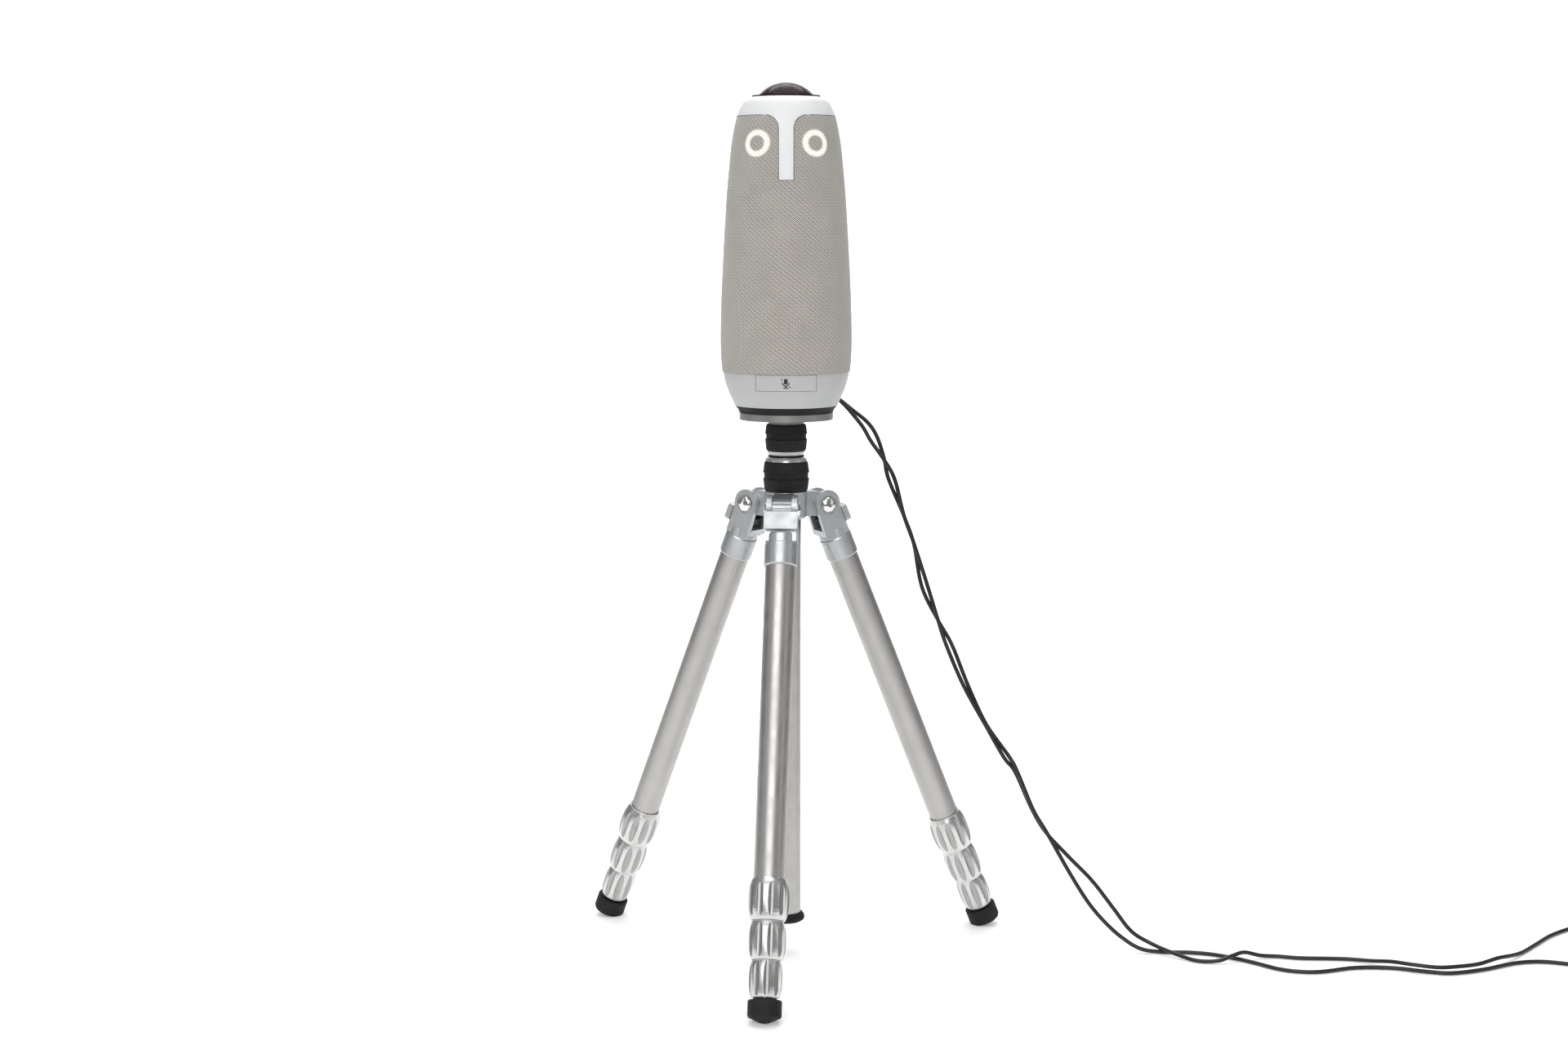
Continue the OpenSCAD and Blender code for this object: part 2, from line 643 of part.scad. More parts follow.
module coil(at) {
    color(RUBBER) translate([at[0], at[1], 0])
        pipe(coil_r + coil_t / 2, coil_r - coil_t / 2, 0, coil_t);
}
module usb_cord_coil() { coil(usb_coil_at); }
module power_cord_coil() { coil(power_coil_at); }

turn_r = coil_r + coil_t / 2 - cord_d / 2;      // outermost turn of a coil

module usb_plug() {
    translate([usb_coil_at[0] + turn_r, usb_coil_at[1] + 4, 4]) rotate([-90, 0, 0]) {
        color(RUBBER) cylinder(r1 = 2, r2 = 3, h = 12);
        color(RUBBER) translate([-7, -4, 12]) cube([14, 8, 22]);
        color(CHROME) translate([-6, -2.2, 34]) cube([12, 4.4, 13]);
    }
}

module power_adapter() {
    translate([power_coil_at[0] + 4, power_coil_at[1] + turn_r, 0]) color(RUBBER) {
        translate([0, 0, 5]) rotate([0, 90, 0]) cylinder(r1 = 2, r2 = 3.4, h = 12);
        translate([12, -15, 0]) cube([38, 30, 26]);
        for (side = [-1, 1]) translate([50, side * 6.4 - 0.8, 10]) cube([16, 1.6, 6.4]);
    }
}

for (leg = LEGS) for (piece = LEG_PARTS)
    leg_part(leg, piece);
hub();
hinge_bolts();
column_lock_ring();
column_lock_grip();
column_tube();
column_cap();
upper_lock_grip();
inner_column();
mount_plate();
mount_screw();
lens_dome();
lens_barrel();
head_shell();
fabric_sleeve();
core_frame();
eye_rings();
base_shell();
mute_button();
base_ring();
main_board();
speakers();
usb_cord_upper();
usb_cord_lower();
usb_cord_coil();
power_cord_upper();
power_cord_lower();
power_cord_coil();
camera_plugs();
usb_plug();
power_adapter();
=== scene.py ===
import math

import bmesh
import bpy
from mathutils import Matrix, Vector
from mathutils.bvhtree import BVHTree


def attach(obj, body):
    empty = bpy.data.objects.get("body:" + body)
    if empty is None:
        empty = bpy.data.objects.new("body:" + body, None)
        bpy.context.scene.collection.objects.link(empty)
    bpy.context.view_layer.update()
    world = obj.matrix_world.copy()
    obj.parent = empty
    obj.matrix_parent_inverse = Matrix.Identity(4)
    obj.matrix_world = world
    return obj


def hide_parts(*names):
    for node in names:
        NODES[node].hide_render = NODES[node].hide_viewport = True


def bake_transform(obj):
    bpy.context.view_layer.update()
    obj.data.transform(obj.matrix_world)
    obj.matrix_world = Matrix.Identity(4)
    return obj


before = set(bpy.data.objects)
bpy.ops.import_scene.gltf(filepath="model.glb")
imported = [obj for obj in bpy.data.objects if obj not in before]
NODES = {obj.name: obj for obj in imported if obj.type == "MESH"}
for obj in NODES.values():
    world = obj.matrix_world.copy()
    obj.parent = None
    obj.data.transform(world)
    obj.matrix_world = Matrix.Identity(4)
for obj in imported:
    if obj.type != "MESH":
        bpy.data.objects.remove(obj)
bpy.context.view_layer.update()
MM = 0.001

# ---------------------------------------------------------------- camera, matched to the photograph
cam_data = bpy.data.cameras.new("view")
cam_data.sensor_width = 36.0
cam_data.lens = 56.64
cam_data.clip_end = 50
camera = bpy.data.objects.new("view", cam_data)
camera.location = (0.0, -2.068, 0.629)
camera.rotation_euler = (math.radians(90 - 7.08), 0.0, math.radians(0.05))
bpy.context.scene.collection.objects.link(camera)
bpy.context.scene.camera = camera

# ---------------------------------------------------------------- sizes shared with the CAD, in metres
LEGS = ["front", "right", "left"]
FRONT_DIR = -95.0                 # degrees, where the front leg points
LEAN = 23.0                       # degrees, every leg from the vertical
HINGE = (0.034, 0, 0.387)         # a leg's hinge: out from the column and up

# the eyes: half the angle between them, height, distance from the camera's axis
EYE_ANGLE = math.radians(32)
EYE_Z = 0.688
EYE_AT = 0.0454
EYE_IN, EYE_OUT, EYE_SOFT = 0.0064, 0.0109, 0.0011       # a ring's radii and the blur of its edges
EYE_SQUEEZE = 0.93                # a ring's height over its width

# each collar's widest radius, number of scoops and turn of the first one (mm, degrees)
COLLARS = [(16.7, 11, 3), (15.0, 10, 20), (13.2, 9, 11)]
SCOOP_R, SCOOP_OUT = 3.5, 1.8     # a scoop's radius and how far its centre is outside the collar
SCOOP_SLACK = 0.02                # faces this far outside a scoop still count as part of it


def leg_turn(i):
    return math.radians(FRONT_DIR + 120 * i)


def hinge_matrix(i):
    """A leg's hinge: +X outwards, +Z up."""
    return Matrix.Rotation(leg_turn(i), 4, "Z") @ Matrix.Translation(HINGE)


def leg_matrix(i):
    """A leg's own frame: +Z down the leg from its hinge, -X outwards."""
    return hinge_matrix(i) @ Matrix.Rotation(math.radians(180 - LEAN), 4, "Y")


# ---------------------------------------------------------------- mesh helpers
def mesh_piece(name, verts, faces, smooth=True):
    mesh = bpy.data.meshes.new(name)
    mesh.from_pydata([tuple(v) for v in verts], [], faces)
    mesh.validate()
    mesh.update()
    for poly in mesh.polygons:
        poly.use_smooth = smooth
    obj = bpy.data.objects.new(name, mesh)
    bpy.context.scene.collection.objects.link(obj)
    return obj


def finish_piece(obj, body, material):
    obj.data.materials.clear()
    obj.data.materials.append(material)
    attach(obj, body)
    return obj


def lathe(profile, steps):
    """Vertices and faces of a closed outline [(r, z)] turned about Z."""
    verts, faces, n = [], [], len(profile)
    for i in range(steps):
        a = 2 * math.pi * i / steps
        verts += [(r * math.cos(a), r * math.sin(a), z) for r, z in profile]
        j = (i + 1) % steps
        for k in range(n):
            m = (k + 1) % n
            faces.append((i * n + k, j * n + k, j * n + m, i * n + m))
    return verts, faces


def box_mesh(lo, hi, bevel):
    """Vertices and faces of a box with rounded edges."""
    bm = bmesh.new()
    bmesh.ops.create_cube(bm, size=1.0)
    size = [hi[i] - lo[i] for i in range(3)]
    mid = [(hi[i] + lo[i]) / 2 for i in range(3)]
    for v in bm.verts:
        v.co = Vector([v.co[i] * size[i] + mid[i] for i in range(3)])
    bmesh.ops.bevel(bm, geom=bm.edges[:], offset=bevel, segments=3, profile=0.6, affect="EDGES")
    verts = [v.co.copy() for v in bm.verts]
    bm.verts.index_update()
    faces = [[v.index for v in f.verts] for f in bm.faces]
    bm.free()
    return verts, faces


# ---------------------------------------------------------------- materials
class Nodes:
    """Short ways to add shader nodes to one node tree."""

    def __init__(self, tree):
        self.tree = tree

    def add(self, kind, **settings):
        node = self.tree.nodes.new(kind)
        for key, value in settings.items():
            setattr(node, key, value)
        return node

    def link(self, a, b):
        self.tree.links.new(a, b)

    def put(self, socket, value):
        """A plain value is set, an output socket is linked."""
        if isinstance(value, (int, float, tuple)):
            socket.default_value = value
        else:
            self.link(value, socket)

    def place(self):
        return self.add("ShaderNodeTexCoord").outputs["Object"]

    def split(self, vector):
        node = self.add("ShaderNodeSeparateXYZ")
        self.link(vector, node.inputs[0])
        return node.outputs

    def math(self, op, a, b=0.0):
        node = self.add("ShaderNodeMath", operation=op)
        self.put(node.inputs[0], a)
        self.put(node.inputs[1], b)
        return node.outputs[0]

    def ramp(self, value, low, high, out_low=0.0, out_high=1.0):
        node = self.add("ShaderNodeMapRange", interpolation_type="SMOOTHSTEP")
        for key, v in (("Value", value), ("From Min", low), ("From Max", high),
                       ("To Min", out_low), ("To Max", out_high)):
            self.put(node.inputs[key], v)
        return node.outputs["Result"]

    def noise(self, vector, scale, detail=3.0, rough=0.5):
        node = self.add("ShaderNodeTexNoise")
        self.link(vector, node.inputs["Vector"])
        node.inputs["Scale"].default_value = scale
        node.inputs["Detail"].default_value = detail
        node.inputs["Roughness"].default_value = rough
        return node.outputs["Fac"]

    def mix(self, factor, a, b):
        """A mix of two colours (r, g, b)."""
        node = self.add("ShaderNodeMix", data_type="RGBA")
        self.put(node.inputs[0], factor)
        for socket, color in ((node.inputs[6], a), (node.inputs[7], b)):
            self.put(socket, (*color, 1.0) if isinstance(color, tuple) else color)
        return node.outputs[2]

    def bump(self, height, strength, distance):
        node = self.add("ShaderNodeBump")
        self.link(height, node.inputs["Height"])
        node.inputs["Strength"].default_value = strength
        node.inputs["Distance"].default_value = distance
        return node.outputs["Normal"]

    def mapped(self, vector, scale=(1, 1, 1), rotation=(0, 0, 0)):
        node = self.add("ShaderNodeMapping")
        self.link(vector, node.inputs["Vector"])
        node.inputs["Scale"].default_value = scale
        node.inputs["Rotation"].default_value = rotation
        return node.outputs["Vector"]


def nodes_of(name):
    mat = bpy.data.materials.new(name)
    mat.use_nodes = True
    tree = mat.node_tree
    return mat, Nodes(tree), tree.nodes["Principled BSDF"]


def surface(name, color, rough, metallic=0.0, vary=0.06, vary_scale=60.0, rough_vary=0.06,
            grain=900.0, bump=0.15, depth=0.00004, stretch=(1, 1, 1), turned=(0, 0, 0), specular=0.5):
    """A material with mottled colour, uneven roughness and fine grain, drawn out by stretch."""
    mat, n, bsdf = nodes_of(name)
    place = n.place()
    cloud = n.noise(place, vary_scale, 4.0, 0.55)
    dark = tuple(c * (1 - vary) for c in color)
    light = tuple(min(1.0, c * (1 + vary)) for c in color)
    n.link(n.mix(n.ramp(cloud, 0.3, 0.7), dark, light), bsdf.inputs["Base Color"])
    n.link(n.ramp(n.noise(place, vary_scale * 1.7), 0.3, 0.7,
                  max(0.02, rough - rough_vary), min(1.0, rough + rough_vary)), bsdf.inputs["Roughness"])
    fine = n.noise(n.mapped(n.mapped(place, rotation=turned), scale=stretch), grain, 2.0, 0.6)
    n.link(n.bump(fine, bump, depth), bsdf.inputs["Normal"])
    bsdf.inputs["Metallic"].default_value = metallic
    bsdf.inputs["Specular IOR Level"].default_value = specular
    return mat


WHITE = surface("white_shell", (0.84, 0.85, 0.85), 0.42, vary=0.015, bump=0.05, grain=1800)
# the head shell's white plastic, painted darker as shade for the base shell and mute button, which face
# down
SHADED_WHITE = surface("white_shell_painted_shade", (0.505, 0.51, 0.508), 0.42, vary=0.02, bump=0.05, grain=1800)
NOSE = surface("nose_panel", (0.83, 0.85, 0.85), 0.45, vary=0.02, bump=0.08, grain=2200)
SEAM = surface("seam_shadow", (0.10, 0.095, 0.085), 0.8, vary=0.1, bump=0.1, specular=0.1)
CAST = surface("cast_grey", (0.52, 0.54, 0.55), 0.38, metallic=0.85, vary=0.04, grain=1500, bump=0.2)
# the brackets' cast metal, painted a little darker as shade for the stop tabs
SHADED_TAB = surface("tab_cast_painted_shade", (0.50, 0.51, 0.52), 0.45, metallic=0.8, vary=0.03, grain=1500, bump=0.1)
PLATE = surface("plate_grey", (0.31, 0.31, 0.30), 0.40, metallic=0.7, vary=0.05, grain=1500, bump=0.2)
RUBBER = surface("rubber", (0.012, 0.012, 0.013), 0.68, vary=0.25, grain=2400, bump=0.5, depth=0.00008,
                 specular=0.28)
JACKET = surface("cord_jacket", (0.010, 0.010, 0.011), 0.42, vary=0.2, grain=1600, bump=0.12)
BLACK = surface("black_plastic", (0.014, 0.014, 0.015), 0.45, vary=0.15, grain=1800, bump=0.3)
LENS_BLACK = surface("lens_black", (0.012, 0.009, 0.009), 0.50, vary=0.15, grain=1800, bump=0.1,
                     specular=0.06)
CHROME = surface("chrome", (0.78, 0.77, 0.76), 0.10, metallic=1.0, vary=0.02, rough_vary=0.03, bump=0.03)
COLUMN = surface("column_aluminium", (0.52, 0.51, 0.495), 0.42, metallic=1.0, vary=0.02, bump=0.04,
                 stretch=(4, 4, 0.04))
POLISHED = surface("polished_aluminium", (0.66, 0.66, 0.65), 0.30, metallic=1.0, vary=0.03,
                   rough_vary=0.04, grain=1500, bump=0.03)
# the collars' polished aluminium made darker: painted shade in the concave flutes
SHADED_SCOOP = surface("scoop_painted_shade", (0.40, 0.40, 0.395), 0.36, metallic=1.0, vary=0.03, grain=1500,
                bump=0.03)
BOARD = surface("circuit_board", (0.02, 0.10, 0.05), 0.4, vary=0.2, vary_scale=300, bump=0.2)
GUIDE = surface("light_guide", (0.95, 0.92, 0.86), 0.5, vary=0.02, bump=0.1)
STOP = surface("stop_block", (0.010, 0.010, 0.011), 0.5, vary=0.1, bump=0.2)
INK = surface("icon_ink", (0.02, 0.02, 0.022), 0.5, vary=0.1, bump=0.05)


def leg_tube_material(i):
    """Satin aluminium whose grain runs along this leg."""
    along = leg_matrix(i).to_3x3().inverted().to_euler()
    return surface(f"satin_aluminium_{LEGS[i]}", (0.49, 0.48, 0.465), 0.42, metallic=1.0, vary=0.02,
                   vary_scale=40, bump=0.04, stretch=(4, 4, 0.03), turned=along)


def eye_glow(n, x, y, z):
    """1 on the two soft rings at the front of the sleeve, 0 elsewhere."""
    rings = []
    for side in (-1, 1):
        c = Vector((side * EYE_AT * math.sin(EYE_ANGLE), -EYE_AT * math.cos(EYE_ANGLE), EYE_Z))
        t = Vector((math.cos(EYE_ANGLE), side * math.sin(EYE_ANGLE), 0.0))
        u = n.math("ADD", n.math("MULTIPLY", n.math("SUBTRACT", x, c.x), t.x),
                   n.math("MULTIPLY", n.math("SUBTRACT", y, c.y), t.y))
        u = n.math("MULTIPLY", u, EYE_SQUEEZE)
        v = n.math("SUBTRACT", z, c.z)
        r = n.math("SQRT", n.math("ADD", n.math("MULTIPLY", u, u), n.math("MULTIPLY", v, v)))
        inner = n.ramp(r, EYE_IN - EYE_SOFT, EYE_IN + EYE_SOFT)
        outer = n.ramp(r, EYE_OUT - EYE_SOFT, EYE_OUT + EYE_SOFT, 1.0, 0.0)
        in_front = n.math("LESS_THAN", y, -0.01)
        rings.append(n.math("MULTIPLY", n.math("MULTIPLY", inner, outer), in_front))
    return n.math("ADD", *rings)


def fabric_material():
    """Fine diagonal knit around the Z axis, with two soft glowing rings behind it."""
    sleeve_r = 0.052
    knit = (0.0022, 0.0018)           # around and up, from one loop to the next
    shade = (0.0046, 0.0037)          # the same for the slower light and dark streaks
    mat, n, bsdf = nodes_of("speaker_fabric")
    place = n.place()
    x, y, z = n.split(place)
    around = n.math("MULTIPLY", n.math("ARCTAN2", x, n.math("MULTIPLY", y, -1.0)), sleeve_r)

    def diagonal(step, op="ADD"):
        """A wave that climbs around the sleeve, or falls with SUBTRACT."""
        return n.math("SINE", n.math(op, n.math("MULTIPLY", around, 2 * math.pi / step[0]),
                                     n.math("MULTIPLY", z, 2 * math.pi / step[1])))
    loops = n.math("MAXIMUM", diagonal(knit), n.math("MULTIPLY", diagonal(knit, "SUBTRACT"), 0.75))
    cloud = n.math("ADD", n.math("MULTIPLY", n.noise(place, 45.0, 4.0), 0.6),
                   n.math("ADD", n.math("MULTIPLY", diagonal(shade), 0.22), 0.2))
    fuzz = n.noise(place, 2600.0, 2.0)
    thread = n.math("ADD", n.math("MULTIPLY", n.ramp(loops, -0.4, 1.0), 0.85),
                    n.math("MULTIPLY", fuzz, 0.25))
    light = n.mix(n.ramp(cloud, 0.3, 0.7), (0.530, 0.510, 0.462), (0.680, 0.653, 0.592))
    n.link(n.mix(n.ramp(thread, 0.15, 0.85), (0.09, 0.084, 0.074), light), bsdf.inputs["Base Color"])
    bsdf.inputs["Roughness"].default_value = 0.9
    bsdf.inputs["Sheen Weight"].default_value = 0.25
    bsdf.inputs["Sheen Roughness"].default_value = 0.5
    bsdf.inputs["Specular IOR Level"].default_value = 0.2
    n.link(n.bump(thread, 0.55, 0.00025), bsdf.inputs["Normal"])
    weave = n.ramp(thread, 0.0, 1.0, 0.9, 1.25)
    glow = n.math("MULTIPLY", eye_glow(n, x, y, z), weave)
    bsdf.inputs["Emission Color"].default_value = (1.0, 0.93, 0.86, 1)
    n.link(n.math("MULTIPLY", glow, 0.60), bsdf.inputs["Emission Strength"])
    return mat


def dome_material():
    """Dark brown lens cover, with a painted sheen that makes it slightly lighter towards its edge."""
    mat, n, bsdf = nodes_of("dome_glass")
    rim_sheen = n.add("ShaderNodeLayerWeight")
    rim_sheen.inputs["Blend"].default_value = 0.35
    cloud = n.noise(n.place(), 90.0, 2.0)
    middle = n.mix(n.ramp(cloud, 0.35, 0.65), (0.014, 0.008, 0.008), (0.021, 0.011, 0.011))
    # painted sheen: lighter brown where the dome turns away from view
    n.link(n.mix(rim_sheen.outputs["Facing"], middle, (0.055, 0.032, 0.036)), bsdf.inputs["Base Color"])
    bsdf.inputs["Roughness"].default_value = 0.08
    bsdf.inputs["Specular IOR Level"].default_value = 0.07
    bsdf.inputs["Coat Weight"].default_value = 0.05
    bsdf.inputs["Coat Roughness"].default_value = 0.03
    return mat


FABRIC = fabric_material()
DOME = dome_material()
TUBES = [leg_tube_material(i) for i in range(3)]

# ---------------------------------------------------------------- cords (routes as in the CAD, mm)
CORD_R = 1.75
USB_UPPER = [(22, 53, 478), (25, 59, 478), (33, 64, 477), (44, 62.2, 473), (56.1, 56.6, 464),
             (70, 49, 453), (78, 45, 441), (84, 43.1, 423), (87.9, 41.4, 405), (100.9, 40.5, 374),
             (109.9, 38.4, 349), (116.9, 34.4, 312), (131, 35.1, 283), (143, 32.1, 262)]
USB_LOWER = [(143, 32.1, 262), (157, 30, 227), (173, 28, 193), (193, 21.8, 165), (200, 17.9, 152),
             (213, 13, 121), (225, 9, 101), (245, 5, 66), (261, 2, 41), (275, -2, 25), (289, -6, 13),
             (305, -10, 4.2), (325, -10.7, 1.8), (347, -13, 2), (366, -19, 2), (385, -32, 2),
             (400, -46, 2), (414, -60, 2), (430, -67, 2), (448, -67, 2), (479, -56, 2), (510, -57, 2),
             (536, -67, 2), (556, -71, 2), (585, -61, 2), (617, -43, 2), (640, -39, 2), (662, -46, 2),
             (690, -60, 2)]
POWER_UPPER = [(32, 48, 478), (35, 54, 478), (42, 58, 475), (49.9, 55.3, 468), (58, 50.9, 459),
               (66, 46, 449), (73, 42, 437), (83, 37.9, 423), (93.1, 40.6, 405), (101.1, 35.5, 374),
               (110.1, 32.6, 349), (122.1, 34.6, 312), (131, 29.9, 283), (138, 31.8, 262)]
POWER_LOWER = [(138, 31.8, 262), (153, 28, 227), (172, 23, 193), (188, 22.1, 165), (198, 22.2, 152),
               (212, 18, 121), (224, 15, 101), (243, 10, 81), (264, 5, 60), (282, 0, 37),
               (297, -3, 18), (313, -5.2, 8.2), (330, -20.2, 4.1), (348, -36, 2), (366, -40, 3),
               (378, -36, 6), (390, -29, 7), (405, -25, 3), (421, -24, 2), (439, -29, 2),
               (474, -31, 2), (496, -40, 3), (510, -52, 6), (526, -64, 7), (545, -68, 6),
               (564, -65, 6), (582, -58, 6), (602, -42, 6), (618, -28, 4), (632, -12, 2), (652, 13, 2),
               (671, 37, 2), (695, 59, 2)]
USB_COIL = (722, -48)
POWER_COIL = (737, 61)
COIL_R = 20.0
STEP = 3.75                       # from one turn of a coil to the next
COIL_STEPS = 24                   # points on one turn
SHIFT = 0.2                       # share of a turn that moves over before a new turn, and after it
HOLD = 0.3                        # share of a turn, at the coil's end, that doesn't move over
DROP = 0.15                       # share of a turn that comes down to the plug
# (across, up) of each turn in the coil's section, in the order they were wound
TURNS = [(1, 0), (0, 0), (-1, 0), (-1, 1), (0, 1), (-1, 2), (0, 2), (1, 2), (1, 1)]
CURVE_STEPS = 6                   # points on a cord from one point of its route to the next


def smooth_step(t):
    t = max(0.0, min(1.0, t))
    return t * t * (3 - 2 * t)


def between(a, b, t):
    return a[0] + (b[0] - a[0]) * t, a[1] + (b[1] - a[1]) * t


def coil_points(centre, start_deg, direction, turns, end_z):
    """A wound coil entered at start_deg on its outermost low turn; direction is +1 anticlockwise."""
    out = []
    count = round(turns * COIL_STEPS)
    for k in range(1, count + 1):
        u = turns * k / count
        i = min(int(u), len(TURNS) - 1)
        place = TURNS[i]
        if i > 0 and u - i < SHIFT:
            place = between(TURNS[i - 1], place, smooth_step((u - i) / SHIFT * 0.5 + 0.5))
        if i + 1 < len(TURNS) and u - i > 1 - SHIFT and u < turns - HOLD:
            place = between(place, TURNS[i + 1], smooth_step((u - i - (1 - SHIFT)) / SHIFT * 0.5))
        r = COIL_R + STEP * place[0]
        z = CORD_R + STEP * place[1]
        left = (turns - u) / DROP
        if left < 1:
            z = end_z + (z - end_z) * smooth_step(left)
        a = math.radians(start_deg + direction * 360 * u)
        out.append((centre[0] + r * math.cos(a), centre[1] + r * math.sin(a), z))
    return out


def catmull(points):
    """A smooth curve through the points, with CURVE_STEPS points between each pair."""
    pts = [Vector(p) for p in points]
    out = []
    for i in range(len(pts) - 1):
        a, b = pts[max(0, i - 1)], pts[i]
        c, d = pts[i + 1], pts[min(len(pts) - 1, i + 2)]
        for k in range(CURVE_STEPS):
            t = k / CURVE_STEPS
            out.append(0.5 * (2 * b + (c - a) * t + (2 * a - 5 * b + 4 * c - d) * t * t
                              + (3 * b - a - 3 * c + d) * t ** 3))
    return out + [pts[-1]]


def cord_tube(name, path, first_along=None, last_along=None, radius=CORD_R, sides=12):
    """A round tube along path (mm), with closed ends, as a mesh in metres."""
    pts = [Vector((p.x, p.y, max(radius, p.z))) * MM for p in path]
    n = len(pts)
    verts, faces = [], []
    up = Vector((0, 1, 0))
    for i, p in enumerate(pts):
        along = (pts[min(n - 1, i + 1)] - pts[max(0, i - 1)]).normalized()
        if i == 0 and first_along:
            along = first_along
        if i == n - 1 and last_along:
            along = last_along
        across = along.cross(up).normalized()
        up = across.cross(along).normalized()
        for k in range(sides):
            a = 2 * math.pi * k / sides
            verts.append(p + radius * MM * (math.cos(a) * across + math.sin(a) * up))
    for i in range(n - 1):
        for k in range(sides):
            m = (k + 1) % sides
            faces.append((i * sides + k, i * sides + m, (i + 1) * sides + m, (i + 1) * sides + k))
    faces.append(tuple(range(sides - 1, -1, -1)))
    faces.append(tuple((n - 1) * sides + k for k in range(sides)))
    length = sum((pts[i + 1] - pts[i]).length for i in range(n - 1))
    return mesh_piece(name, verts, faces), pts, length


def coil_tie(label, centre, angle):
    """A flat strap around the coil's section, at this angle of the coil."""
    centre = Vector((*centre, 0))
    out = Vector((math.cos(angle), math.sin(angle), 0))
    side = Vector((-out.y, out.x, 0))
    thick, width, corner, slack = 0.55, 5.0, 1.6, 0.15
    inset = STEP + CORD_R + slack - corner
    loop = []
    for sx, sz, from_deg in ((1, 1, 0), (-1, 1, 90), (-1, -1, 180), (1, -1, 270)):
        for k in range(5):
            a = math.radians(from_deg + 90 * k / 4)
            loop.append((sx * inset, sz * inset, math.cos(a), math.sin(a)))
    mid_z = CORD_R + STEP
    verts, faces = [], []
    for s in (-width / 2, width / 2):
        for r in (corner, corner + thick):
            for cx, cz, ca, sa in loop:
                z = max(0.05, mid_z + cz + r * sa)
                verts.append((centre + out * (COIL_R + cx + r * ca) + side * s + Vector((0, 0, z))) * MM)
    n = len(loop)
    for k in range(n):
        m = (k + 1) % n
        faces += [(k, m, n + m, n + k), (2 * n + m, 2 * n + k, 3 * n + k, 3 * n + m),
                  (n + k, n + m, 3 * n + m, 3 * n + k), (m, k, 2 * n + k, 2 * n + m)]
    strap = mesh_piece(f"{label}_coil_tie", verts, faces, smooth=False)
    return finish_piece(strap, "hub_frame", BLACK)


def cord_stretch(name, path, bodies, heights, stands_for, **along):
    """One stretch of a lead as one mesh in place, hiding the pieces it stands for."""
    obj, pts, length = cord_tube(name, path, **along)
    obj.data.materials.append(JACKET)
    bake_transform(obj)
    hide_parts(*stands_for)
    return obj, pts, length


# two heights for each stretch, handed to cord_stretch
UPPER_BLEND = (0.470, 0.285)
LOWER_BLEND = (0.262, 0.004)


def make_cord(label, upper, lower, coil, end, tie_at):
    """Both stretches of one lead: from the camera to the join, and from there to its plug."""
    whole = catmull(upper + lower[1:] + coil + end)
    join = (len(upper) - 1) * CURVE_STEPS
    along = (whole[join + 1] - whole[join - 1]).normalized()
    first = cord_stretch(f"{label}_cord_upper_lead", whole[:join + 1], ("camera_stage", "column"),
                         UPPER_BLEND, [f"{label}_cord_upper"], last_along=along)
    second = cord_stretch(f"{label}_cord_lower_lead", whole[join:], ("column", "hub_frame"),
                          LOWER_BLEND, [f"{label}_cord_lower", f"{label}_cord_coil"], first_along=along)
    tie = coil_tie(label, *tie_at)


make_cord("usb", USB_UPPER, USB_LOWER + [(712.3, -69.7, CORD_R)],
          coil_points(USB_COIL, start_deg=-114, direction=1, turns=8 + 114 / 360, end_z=4.0),
          [(745.75, -45.5, 4.0), (745.75, -43.6, 4.0)],
          (USB_COIL, math.radians(150)))
make_cord("power", POWER_UPPER, POWER_LOWER + [(722.4, 79.7, CORD_R)],
          coil_points(POWER_COIL, start_deg=128, direction=-1, turns=8 + 38 / 360, end_z=5.0),
          [(739.5, 84.75, 5.0), (741.4, 84.75, 5.0)],
          (POWER_COIL, math.radians(-40)))

# ---------------------------------------------------------------- the CAD nodes' materials
LOOKS = {"hub": CAST, "hinge_bolts": CHROME, "column_lock_ring": POLISHED, "column_lock_grip": RUBBER,
         "column_tube": COLUMN, "column_cap": RUBBER, "upper_lock_grip": RUBBER, "inner_column": COLUMN,
         "mount_plate": PLATE, "mount_screw": CHROME, "lens_dome": DOME, "lens_barrel": LENS_BLACK,
         "head_shell": WHITE, "fabric_sleeve": FABRIC, "core_frame": BLACK, "eye_rings": GUIDE,
         "base_shell": SHADED_WHITE, "mute_button": SHADED_WHITE, "base_ring": RUBBER, "main_board": BOARD,
         "speakers": BLACK, "usb_cord_upper": JACKET, "usb_cord_lower": JACKET, "usb_cord_coil": JACKET,
         "power_cord_upper": JACKET, "power_cord_lower": JACKET, "power_cord_coil": JACKET,
         "camera_plugs": BLACK, "usb_plug": BLACK, "power_adapter": BLACK}
for i, leg in enumerate(LEGS):
    LOOKS[f"leg_{leg}_bracket"] = CAST
    LOOKS[f"leg_{leg}_stop_tab"] = SHADED_TAB
    LOOKS[f"leg_{leg}_foot"] = RUBBER
    for k in range(1, 5):
        LOOKS[f"leg_{leg}_tube_{k}"] = TUBES[i]
    for k in range(1, 4):
        LOOKS[f"leg_{leg}_collar_{k}"] = POLISHED
for name, obj in NODES.items():
    obj.data.materials.clear()
    obj.data.materials.append(LOOKS[name])


def second_material(node, material, chosen):
    """Paint the faces of a node whose centre chosen() picks."""
    obj = NODES[node]
    obj.data.materials.append(material)
    index = len(obj.data.materials) - 1
    for poly in obj.data.polygons:
        if chosen(poly.center):
            poly.material_index = index


